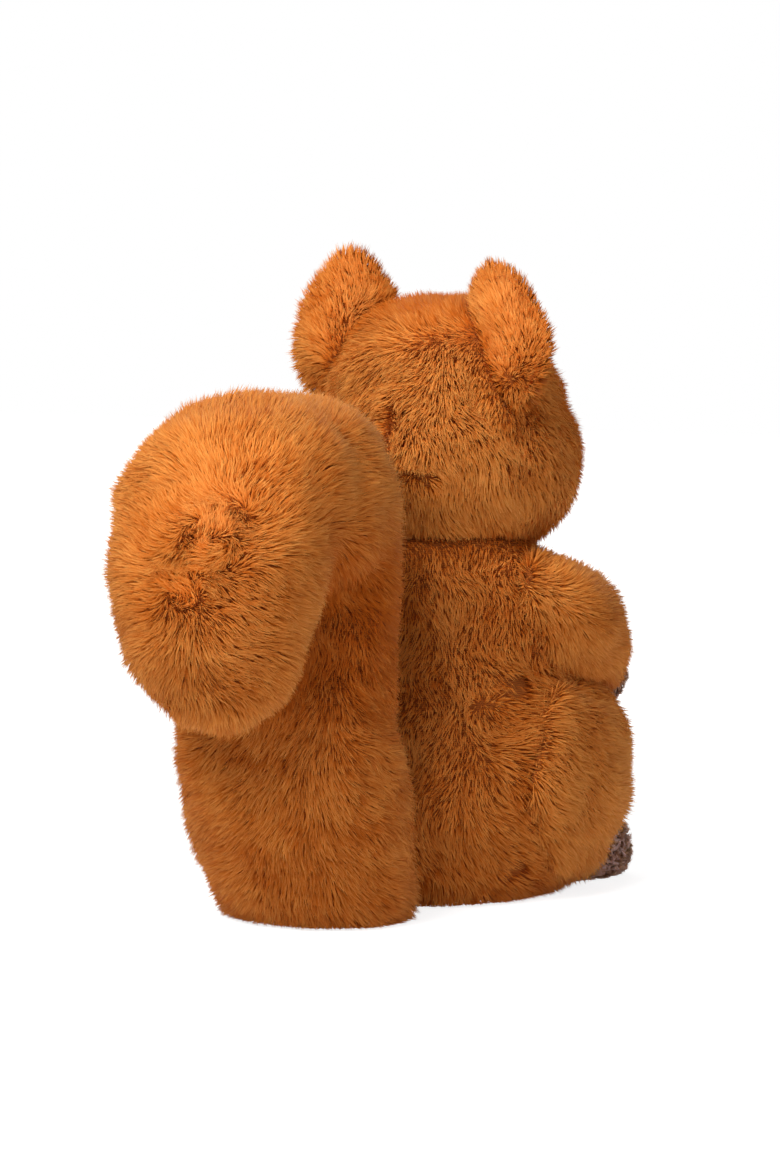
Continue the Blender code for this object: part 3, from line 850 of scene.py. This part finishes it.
def nap(skin, node, name, plan, comb):
    """The short pile of an ear's lining."""
    pile = bpy.context.scene.squirrel_lining
    rng = np.random.default_rng(plan.seed)
    roots, normals = scatter(skin, plan.strands, rng)
    way, _ = combed(roots, normals, comb, plan.seed * 10, 18.0, 12.0, rng)
    length = pile.length * rng.uniform(0.7, 1.15, len(roots))
    foot = roots - normals * 0.0003
    bend = foot + unit(normals + way * 0.35) * (length * 0.45)[:, None]
    end = bend + unit(normals * 0.7 + way) * (length * 0.6)[:, None]
    clear = keep_out(end, node)
    foot, bend, end, normals = foot[clear], bend[clear], end[clear], normals[clear]
    tones = plan.tone + 0.2 * rng.normal(size=len(foot))
    roll = np.radians(rng.uniform(-55, 55, len(foot)))
    width = pile.width * rng.uniform(0.75, 1.2, len(foot))
    lines = np.stack([foot, bend, end], axis=1)
    strand_piece(name, lines, width, roll, normals, tones, "lining_pile", 0.4)


# How each form is combed

# The fur turns away from the line of a parting, and its strands are shorter there
Parting = namedtuple("Parting", "start end reach short_reach shortening")
HEAD_SEAM = Parting(
    Vector((-0.002, 0.036, 0.196)), Vector((-0.001, 0.040, 0.170)), 0.009, 0.006, 0.4
)
HEAD_DIMPLE = Parting(
    Vector((-0.011, 0.0405, 0.1665)), Vector((-0.020, 0.038, 0.1655)), 0.008, 0.006, 0.4
)
FLANK_PIT = Parting(
    Vector((-0.045, 0.028, 0.079)), Vector((-0.042, 0.030, 0.0785)), 0.010, 0.007, 0.45
)

TAIL_WHORL = (Vector((-0.020, 0.174, 0.158)), Vector((-0.008, 0.180, 0.136)))  # on the curl's back
WHORL_REACH = 0.022
WHORL_TURN = 1.0  # round the whorl the fur is turned by this many radians
WHORL_MESS = 0.6  # more or less by this
WHORL_TUFTS = 0.017  # and lies in loose tufts of this width
WHORL_LEAN_SHARE = 0.75
TAIL_PARTING_WAY = Vector((-0.53, 0.85, 0.0))  # the stem's fur parts along the line that faces this way
STEM_TOP = 0.135
THIGH_WAY = np.array([0.0, -0.60, -0.62])
THIGH_TUFT_HEIGHT = 0.078
CROWN_LEAN_SHARE = 0.75  # between the ears the fur stands up a little
CROWN_DEPTH = 0.024  # the crown is this far down from the top of the head
CROWN_PAINTED_SHADE = 0.50  # painted shade: what is taken off the tone there, where the crown faces the lamp
STEM_PAINTED_SHADE, TIP_PAINTED_SHADOW, WHORL_DEEPENING = 0.15, 0.32, 0.25  # and on the tail: painted shade on the stem, a painted shadow under the hanging tip, and the whorl's deeper tone
NOSE_SHORT = (0.3, 0.007, 0.035)  # the least share of the length, and from where and over what it grows
EYE_SHORT = (0.25, 0.008, 0.016)


def off_line(places, line):
    """Each place's way from the nearest point of a line between two points."""
    start, run = np.array(line[0]), np.array(line[1] - line[0])
    share = np.clip(((places - start) @ run) / (run @ run), 0, 1)
    return places - start - share[:, None] * run


def parted(places, flow, parting):
    """Turns the flow away from a parting."""
    away = off_line(places, parting)
    far = np.linalg.norm(away, axis=1, keepdims=True)
    near = 1 - ease(far / parting.reach)
    return flow * (1 - near) + unit(away) * near * 1.4


def dented(places, shares, parting):
    """Shortens the strands at a parting."""
    near = 1 - ease(np.linalg.norm(off_line(places, parting), axis=1) / parting.short_reach)
    return shares * (1 - parting.shortening * near)


def shortened(places, shares, middle, short):
    """Shortens the strands round a point."""
    least, start, run = short
    far = np.linalg.norm(places - np.array(middle), axis=1)
    return shares * (least + (1 - least) * ease((far - start) / run))


def comb_body(roots, normals):
    flow = np.tile([0.0, 0.12, -1.0], (len(roots), 1))
    flow[:, 0] += roots[:, 0] * 6
    hip = ease((np.abs(roots[:, 0]) - 0.034) / 0.018) * ease((0.105 - roots[:, 2]) / 0.03)
    flow = flow * (1 - hip[:, None]) + THIGH_WAY * hip[:, None]
    return parted(roots, flow, FLANK_PIT)


def shape_body(roots):
    longer = dented(roots, np.ones(len(roots)), FLANK_PIT)
    return longer, np.ones(len(roots))


def on_crown(roots):
    return ease((roots[:, 2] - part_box("head")[1][2] + CROWN_DEPTH) / 0.018)


def crown_flow(roots):
    """Between the ears the fur lies in loose tufts to the left, and a little forward."""
    flow = np.tile([1.0, -0.35, -0.1], (len(roots), 1))
    flow[:, 1] += 0.35 * wander(roots, 0.030, 91)
    return flow


def comb_head(roots, normals):
    middle = middle_of("head")
    nose = middle_of("nose")
    flow = np.tile([0.0, 0.0, -1.0], (len(roots), 1))
    flow[:, 1] += 0.5 * ease((roots[:, 2] - middle.z) / 0.05)
    front = ease((middle.y - roots[:, 1]) / 0.035)[:, None]
    flow = flow * (1 - front) + unit(roots - np.array(nose)) * front
    crown = on_crown(roots)[:, None]
    flow = flow * (1 - crown) + crown_flow(roots) * crown
    flow = parted(roots, flow, HEAD_SEAM)
    return parted(roots, flow, HEAD_DIMPLE)


def shape_head(roots):
    longer = dented(roots, np.ones(len(roots)), HEAD_SEAM)
    longer = dented(roots, longer, HEAD_DIMPLE)
    longer = shortened(roots, longer, middle_of("nose"), NOSE_SHORT)
    for side in SIDES:
        longer = shortened(roots, longer, middle_of("eye_" + side), EYE_SHORT)
    return longer, 1 - (1 - CROWN_LEAN_SHARE) * on_crown(roots)


def crown_painted_shade(roots):
    """Painted shade on the crown, which faces the lamp: the fur's tone is lowered there."""
    return CROWN_PAINTED_SHADE * on_crown(roots)


def comb_tail(roots, normals):
    away = off_line(roots, TAIL_WHORL)
    near = near_whorl(roots)
    loose = np.stack([wander(roots, WHORL_TUFTS, seed) for seed in (78, 79, 80)], axis=1)
    curl = unit(unit(away) * (1 - near[:, None]) + loose * 0.6 * near[:, None])
    turn = (near * (WHORL_TURN + WHORL_MESS * wander(roots, 0.007, 77)))[:, None]
    curl = curl * np.cos(turn) + np.cross(normals, curl) * np.sin(turn)
    stem = np.array([0.0, 0.0, -0.85]) - np.array(TAIL_PARTING_WAY) * 0.8
    share = curl_share(roots)[:, None]
    return stem * (1 - share) + curl * share


def shape_tail(roots):
    near = near_whorl(roots)
    return 1 - 0.15 * near, 1 - (1 - WHORL_LEAN_SHARE) * near


def curl_share(roots):
    """0 on the tail's stem and 1 on the curl and the tip that hangs from it."""
    above = ease((roots[:, 2] - STEM_TOP) / 0.03)
    behind = ease((roots[:, 1] - 0.137) / 0.012) * ease((roots[:, 2] - 0.075) / 0.012)
    return np.maximum(above, behind)


def near_whorl(roots):
    """1 on the whorl, and 0 beyond its reach."""
    return 1 - ease(np.linalg.norm(off_line(roots, TAIL_WHORL), axis=1) / WHORL_REACH)


def on_stem(roots):
    return curl_share(roots) < 0.5


def on_curl(roots):
    return curl_share(roots) >= 0.5


def on_whorl(roots):
    return np.linalg.norm(off_line(roots, TAIL_WHORL), axis=1) < WHORL_REACH / 2


def tail_shade_and_whorl_tone(roots):
    """Painted shade on the stem's fur, darkest in a painted shadow under the tip that hangs over it; the
    whorl's fur has a deeper tone too.
    """
    painted_tip_shadow = TIP_PAINTED_SHADOW * ease((roots[:, 2] - 0.070) / 0.03)
    stem = (STEM_PAINTED_SHADE + painted_tip_shadow) * (1 - curl_share(roots))
    return stem + WHORL_DEEPENING * near_whorl(roots)


def comb_thigh(roots, normals):
    return np.tile(THIGH_WAY, (len(roots), 1))


def shape_thigh(roots):
    """Under the arm the fur is longer and stands up."""
    top = ease((roots[:, 2] - THIGH_TUFT_HEIGHT) / 0.014)
    return 1 + 0.15 * top, 1 - 0.4 * top


def arm_comb(node, paw):
    """Along the arm, from its shoulder to its paw."""
    shoulder = Vector((middle_of(node).x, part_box(node)[1][1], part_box(node)[1][2]))
    way = np.array((middle_of(paw) - shoulder).normalized())

    def comb(roots, normals):
        return np.tile(way, (len(roots), 1))

    return comb


def ear_comb(node):
    """From low on the ear out to its edge."""
    low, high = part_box(node)
    middle = np.array(middle_of(node))
    middle[2] = low[2] + 0.22 * (high[2] - low[2])

    def comb(roots, normals):
        return unit(roots - middle)

    return comb


def ear_shape(roots):
    return np.full(len(roots), 1.05), np.full(len(roots), 0.80)


def plan_for(form, side):
    """The plan of one side's pile, with a random draw of its own."""
    plan = PILES[form]
    return plan._replace(seed=plan.seed + SIDES.index(side))


def make_furry(node, plan, comb, shape=None, deep=None):
    """A stuffed form with its rust fur."""
    inset = bpy.context.scene.squirrel_filling.inset
    skin = cut_skin(node, plan.cell, inset, "rust_knit")
    fur(skin, node, node + "_pile", plan, comb, shape, deep=deep)


def make_fleecy(form, side):
    """A paw or a foot with its fleece."""
    node, plan = form + "_" + side, plan_for(form, side)
    inset = bpy.context.scene.squirrel_filling.fleece_inset
    skin = cut_skin(node, plan.cell, inset, "fleece_knit")
    fleece(skin, node, node + "_pile", plan)


# Operators: one for each piece or group of like pieces


class MakeFinishes(bpy.types.Operator):
    """Mixes the fabrics' and the face's materials"""

    bl_idname = "squirrel.make_finishes"
    bl_label = "Finishes"

    def execute(self, context):
        scene = context.scene
        rust, curly, lining = scene.squirrel_rust, scene.squirrel_fleece, scene.squirrel_lining
        pile_finish("rust_pile", rust.root, rust.middle, rust.tip, rust.sheen)
        pile_finish("fleece_pile", curly.root, curly.middle, curly.tip, 0.3)
        pile_finish("lining_pile", lining.root, lining.middle, lining.tip, 0.3)
        knit_finish("rust_knit", scene.squirrel_filling.fabric)
        knit_finish("fleece_knit", curly.root)
        knit_finish("lining_knit", lining.root)
        eye_finish("eye_plastic", scene.squirrel_face.eye)
        thread_finish("nose_thread", scene.squirrel_face.thread)
        return {"FINISHED"}


class MakeBody(bpy.types.Operator):
    """Cuts, fills and furs the body"""

    bl_idname = "squirrel.make_body"
    bl_label = "Body"

    def execute(self, context):
        make_furry("body", PILES["body"], comb_body, shape_body)
        return {"FINISHED"}


class MakeHead(bpy.types.Operator):
    """Cuts, fills and furs the head"""

    bl_idname = "squirrel.make_head"
    bl_label = "Head"

    def execute(self, context):
        make_furry("head", PILES["head"], comb_head, shape_head, crown_painted_shade)
        return {"FINISHED"}


class MakeTail(bpy.types.Operator):
    """Cuts, fills and furs the tail: its stem, its curl with the tip, and the whorl on it"""

    bl_idname = "squirrel.make_tail"
    bl_label = "Tail"

    def execute(self, context):
        parts = (
            ("tail_stem", on_stem, tail_shade_and_whorl_tone),
            ("tail_curl", on_curl, tail_shade_and_whorl_tone),
            ("tail_whorl", on_whorl, None),
        )
        inset = context.scene.squirrel_filling.inset
        skin = cut_skin("tail", PILES["tail_stem"].cell, inset, "rust_knit")
        for part, only, deep in parts:
            fur(skin, "tail", part + "_pile", PILES[part], comb_tail, shape_tail, only, deep=deep)
        return {"FINISHED"}


class MakeThighs(bpy.types.Operator):
    """Cuts, fills and furs the two thighs"""

    bl_idname = "squirrel.make_thighs"
    bl_label = "Thighs"

    def execute(self, context):
        for side in SIDES:
            make_furry("thigh_" + side, plan_for("thigh", side), comb_thigh, shape_thigh)
        return {"FINISHED"}


class MakeArms(bpy.types.Operator):
    """Cuts, fills and furs the two arms"""

    bl_idname = "squirrel.make_arms"
    bl_label = "Arms"

    def execute(self, context):
        for side in SIDES:
            node = "arm_" + side
            make_furry(node, plan_for("arm", side), arm_comb(node, "paw_" + side))
        return {"FINISHED"}


class MakeEars(bpy.types.Operator):
    """Cuts and furs the two ears and their short-piled linings"""

    bl_idname = "squirrel.make_ears"
    bl_label = "Ears"

    def execute(self, context):
        inset = context.scene.squirrel_filling.ear_inset
        for side in SIDES:
            node, plan = "ear_" + side, plan_for("ear", side)
            skin = cut_skin(node, plan.cell, inset, "rust_knit", False)
            fur(skin, node, node + "_pile", plan, ear_comb(node), ear_shape, tuft=1.5)
            patch, plan = "ear_lining_" + side, plan_for("ear_lining", side)
            skin = cut_skin(patch, plan.cell, LINING_INSET, "lining_knit", False)
            nap(skin, patch, patch + "_pile", plan, ear_comb(node))
        return {"FINISHED"}


class MakePaws(bpy.types.Operator):
    """Cuts, fills and covers the two paws with curly fleece"""

    bl_idname = "squirrel.make_paws"
    bl_label = "Paws"

    def execute(self, context):
        for side in SIDES:
            make_fleecy("paw", side)
        return {"FINISHED"}


class MakeFeet(bpy.types.Operator):
    """Cuts, fills and covers the two feet with curly fleece"""

    bl_idname = "squirrel.make_feet"
    bl_label = "Feet"

    def execute(self, context):
        for side in SIDES:
            make_fleecy("foot", side)
        return {"FINISHED"}


class MakeEyes(bpy.types.Operator):
    """Polishes the two eyes' solids"""

    bl_idname = "squirrel.make_eyes"
    bl_label = "Eyes"

    def execute(self, context):
        for side in SIDES:
            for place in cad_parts["eye_" + side].material_slots:
                place.material = bpy.data.materials["eye_plastic"]
        return {"FINISHED"}


class MakeNose(bpy.types.Operator):
    """Stitches the nose with rows of thread"""

    bl_idname = "squirrel.make_nose"
    bl_label = "Nose"

    def execute(self, context):
        face = context.scene.squirrel_face
        stitches = new_object("nose_stitches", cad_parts["nose"].data.copy())
        remesh = stitches.modifiers.new("remesh", "REMESH")
        remesh.mode = "VOXEL"
        remesh.voxel_size = face.thread_width / 3.2
        apply_all(stitches)
        places, normals = coords(stitches.data), vertex_normals(stitches.data)
        sway = places[:, 2] * 0.12
        furrows = 1 - np.abs(np.sin((places[:, 0] + sway) * math.pi / face.thread_width))
        move_to(stitches.data, places - normals * (face.stitch_depth * furrows)[:, None])
        stitches.data.shade_smooth()
        stitches.data.materials.clear()
        stitches.data.materials.append(bpy.data.materials["nose_thread"])
        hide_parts("nose")
        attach(stitches, "root")
        return {"FINISHED"}


class MakeStudio(bpy.types.Operator):
    """Sets up the camera, the pale floor and the soft light"""

    bl_idname = "squirrel.make_studio"
    bl_label = "Studio"

    def execute(self, context):
        studio = context.scene.squirrel_studio
        around, above = studio.azimuth, studio.elevation
        level = math.cos(above)
        back = Vector((math.sin(around) * level, -math.cos(around) * level, math.sin(above)))
        camera = new_object("camera", bpy.data.cameras.new("camera"))
        camera.data.lens = studio.lens
        camera.data.sensor_width = 36.0
        camera.location = CAMERA_TARGET + back * studio.distance
        camera.rotation_euler = (-back).to_track_quat("-Z", "Y").to_euler()
        context.scene.camera = camera
        right = Vector((math.cos(around), math.sin(around), 0))
        middle = (Vector(CAD_BOX[0]) + Vector(CAD_BOX[1])) / 2
        for name, (nearer, aside, up, size) in LAMPS.items():
            place = middle + back * nearer + right * aside + Vector((0, 0, up))
            self.lamp(name, place, middle, size, getattr(studio, name))
        self.floor(studio)
        self.sky(context, studio)
        context.scene.view_settings.view_transform = "Standard"
        return {"FINISHED"}

    @staticmethod
    def lamp(name, place, target, size, power):
        lamp = new_object(name, bpy.data.lights.new(name, "AREA"))
        lamp.data.shape = "DISK"
        lamp.data.size = size
        lamp.data.energy = power
        lamp.location = place
        lamp.rotation_euler = (target - place).to_track_quat("-Z", "Y").to_euler()

    @staticmethod
    def seen_directly(finish):
        """1 for a ray from the camera, a reflection or a refraction, and 0 for the light's own rays."""
        seen = None
        for kind in ("Is Camera Ray", "Is Glossy Ray", "Is Transmission Ray"):
            ray = finish.node("ShaderNodeLightPath", output=kind)
            seen = ray if seen is None else seen + ray
        return seen

    def floor(self, studio):
        mesh = bpy.data.meshes.new("floor")
        half = studio.floor / 2
        corners = [(-half, -half, 0), (half, -half, 0), (half, half, 0), (-half, half, 0)]
        mesh.from_pydata(corners, [], [(0, 1, 2, 3)])
        finish = new_finish("floor_paper")
        grain = finish.noise(40.0)
        paper = finish.ramp(grain, [(0.3, (0.84, 0.84, 0.84)), (0.7, (0.88, 0.88, 0.88))])
        bare = finish.node("ShaderNodeBsdfDiffuse", None, {"Color": paper})
        glow = finish.node("ShaderNodeEmission", None, {"Color": (1, 1, 1, 1), "Strength": FLOOR_GLOW})
        length = {"operation": "LENGTH"}
        far = finish.node("ShaderNodeVectorMath", length, {0: finish.place()}, output="Value")
        glowing = finish.ramp(far, [(0.3, [FLOOR_GLOW_SHARE] * 3), (1.0, (1, 1, 1))])
        share = self.seen_directly(finish) * glowing
        mixed = finish.node("ShaderNodeMixShader", None, {0: share, 1: bare, 2: glow})
        mesh.materials.append(finish.surface(mixed))
        new_object("floor", mesh)

    def sky(self, context, studio):
        world = bpy.data.worlds.new("sky")
        context.scene.world = world
        finish = Finish(world)
        light = finish.node("ShaderNodeBackground", None, {"Color": (1, 1, 1, 1), "Strength": studio.sky})
        white = finish.node("ShaderNodeBackground", None, {"Color": (1, 1, 1, 1), "Strength": 1.0})
        inputs = {0: self.seen_directly(finish), 1: light, 2: white}
        mixed = finish.node("ShaderNodeMixShader", None, inputs)
        finish.node("ShaderNodeOutputWorld", None, {"Surface": mixed})


class SquirrelPanel(bpy.types.Panel):
    """Lists the steps and the settings"""

    bl_idname = "VIEW3D_PT_squirrel"
    bl_label = "Plush squirrel"
    bl_space_type = "VIEW_3D"
    bl_region_type = "UI"
    bl_category = "Plush squirrel"

    def draw(self, context):
        for operator in OPERATORS:
            self.layout.operator(operator.bl_idname)
        for name, _ in SETTINGS:
            group = getattr(context.scene, name)
            box = self.layout.box()
            for prop in group.bl_rna.properties:
                if prop.identifier not in ("rna_type", "name"):
                    box.prop(group, prop.identifier)


SETTINGS = (
    ("squirrel_filling", FillingSettings),
    ("squirrel_rust", RustPileSettings),
    ("squirrel_fleece", FleeceSettings),
    ("squirrel_lining", LiningSettings),
    ("squirrel_face", FaceSettings),
    ("squirrel_studio", StudioSettings),
)
OPERATORS = (
    MakeFinishes,
    MakeStudio,
    MakeBody,
    MakeHead,
    MakeTail,
    MakeThighs,
    MakeArms,
    MakeEars,
    MakePaws,
    MakeFeet,
    MakeEyes,
    MakeNose,
)


def register():
    for name, group in SETTINGS:
        bpy.utils.register_class(group)
        setattr(bpy.types.Scene, name, PointerProperty(type=group))
    for part in (*OPERATORS, SquirrelPanel):
        bpy.utils.register_class(part)


def unregister():
    for part in reversed((*OPERATORS, SquirrelPanel)):
        bpy.utils.unregister_class(part)
    for name, group in reversed(SETTINGS):
        delattr(bpy.types.Scene, name)
        bpy.utils.unregister_class(group)


def main():
    register()
    for operator in OPERATORS:
        family, step = operator.bl_idname.split(".")
        getattr(getattr(bpy.ops, family), step)()


if __name__ == "__main__":
    main()
